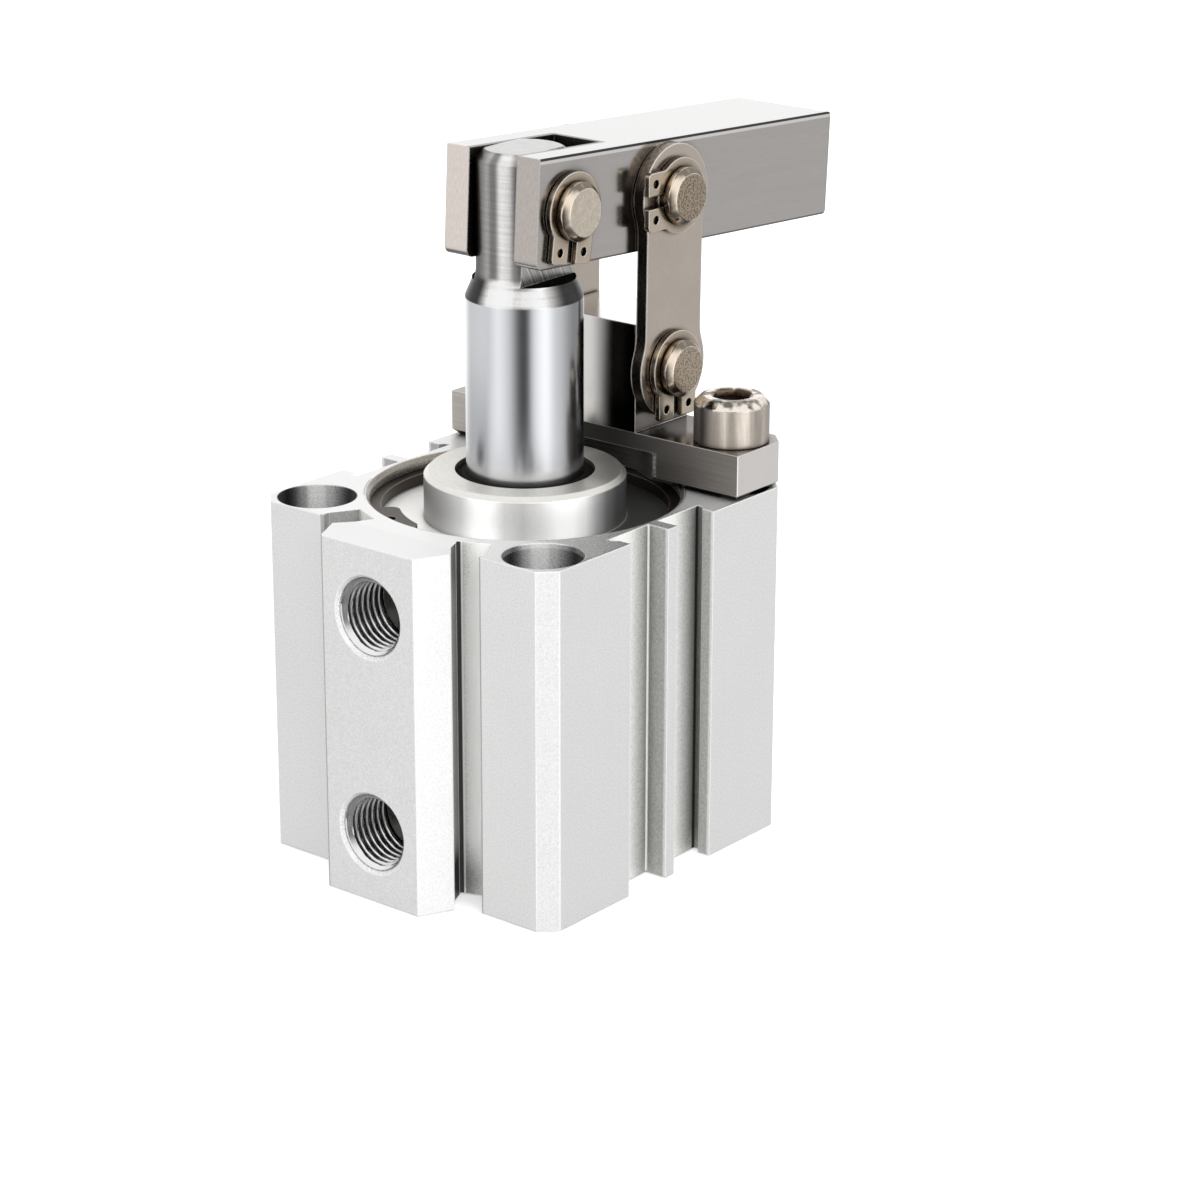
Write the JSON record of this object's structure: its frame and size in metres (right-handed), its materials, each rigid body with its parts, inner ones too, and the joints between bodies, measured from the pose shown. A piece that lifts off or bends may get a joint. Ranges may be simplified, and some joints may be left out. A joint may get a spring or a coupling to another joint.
{
  "type": "pneumatic lever clamp cylinder",
  "caption": "Compact square air cylinder whose rod works a linked lever: the forked clamp arm swings down as the rod comes out and lifts clear as it goes back.",
  "frame": {"origin": "where the rod axis meets the rear end face of the body, on which it is mounted and stands", "axes": "+Z along the rod, the way it comes out; -Y out of the ports; +Y the way the clamp arm reaches; hinge pins along X"},
  "size_m": [0.064, 0.113, 0.1225],
  "materials": {
    "body_aluminium": "fine blasted and clear anodised",
    "turned_aluminium": "turned and clear anodised",
    "rod_steel": "hard chromed and polished, satin on neck and tongue",
    "nickelled_steel": "ground and nickel plated",
    "pin_steel": "nickel plated, champagne tone",
    "spring_steel": "nickel plated spring steel",
    "dark_spring_steel": "phosphated spring steel",
    "seal_rubber": "black nitrile or polyurethane",
    "bush_bronze": "sintered bronze",
    "guide_plastic": "filled bearing plastic",
    "magnet": "bonded magnet"
  },
  "bodies": {
    "body": {"cylinder_body": "body_aluminium", "front_cover": "turned_aluminium", "front_cover_o_ring": "seal_rubber", "rod_bush": "bush_bronze", "rod_seal": "seal_rubber", "rod_wiper": "seal_rubber", "front_retaining_ring": "dark_spring_steel", "rear_cover": "turned_aluminium", "rear_cover_o_ring": "seal_rubber", "rear_retaining_ring": "dark_spring_steel", "front_bumper": "seal_rubber", "rear_bumper": "seal_rubber", "pivot_bracket": "nickelled_steel", "bracket_screws": "pin_steel", "post_pin": "pin_steel", "post_pin_rings": "spring_steel"},
    "rod": {"piston": "turned_aluminium", "piston_rear_seal": "seal_rubber", "piston_magnet": "magnet", "piston_guide_ring": "guide_plastic", "piston_front_seal": "seal_rubber", "piston_nut": "pin_steel", "piston_rod": "rod_steel", "rod_pin": "pin_steel", "rod_pin_rings": "spring_steel"},
    "arm": {"clamp_arm": "nickelled_steel"},
    "links": {"link_right": "nickelled_steel", "link_left": "nickelled_steel", "arm_pin": "pin_steel", "arm_pin_rings": "spring_steel"}
  },
  "joints": [
    {"name": "rod_slide", "type": "slide", "parent": "body", "child": "rod", "axis": [0, 0, 1], "range_m": [-0.02, 0]},
    {"name": "arm_tilt", "type": "hinge", "parent": "rod", "child": "arm", "pos_m": [0, 0, 0.1128], "axis": [1, 0, 0], "range_deg": [0, 46.6]},
    {"name": "link_swing", "type": "hinge", "parent": "body", "child": "links", "pos_m": [0, 0.02475, 0.0814], "axis": [1, 0, 0], "range_deg": [0, 10.95]}
  ],
  "couplings": [
    {"joint": "arm_tilt", "follows": "rod_slide", "rad_per_m": -40.598},
    {"joint": "link_swing", "follows": "rod_slide", "rad_per_m": -9.509}
  ]
}
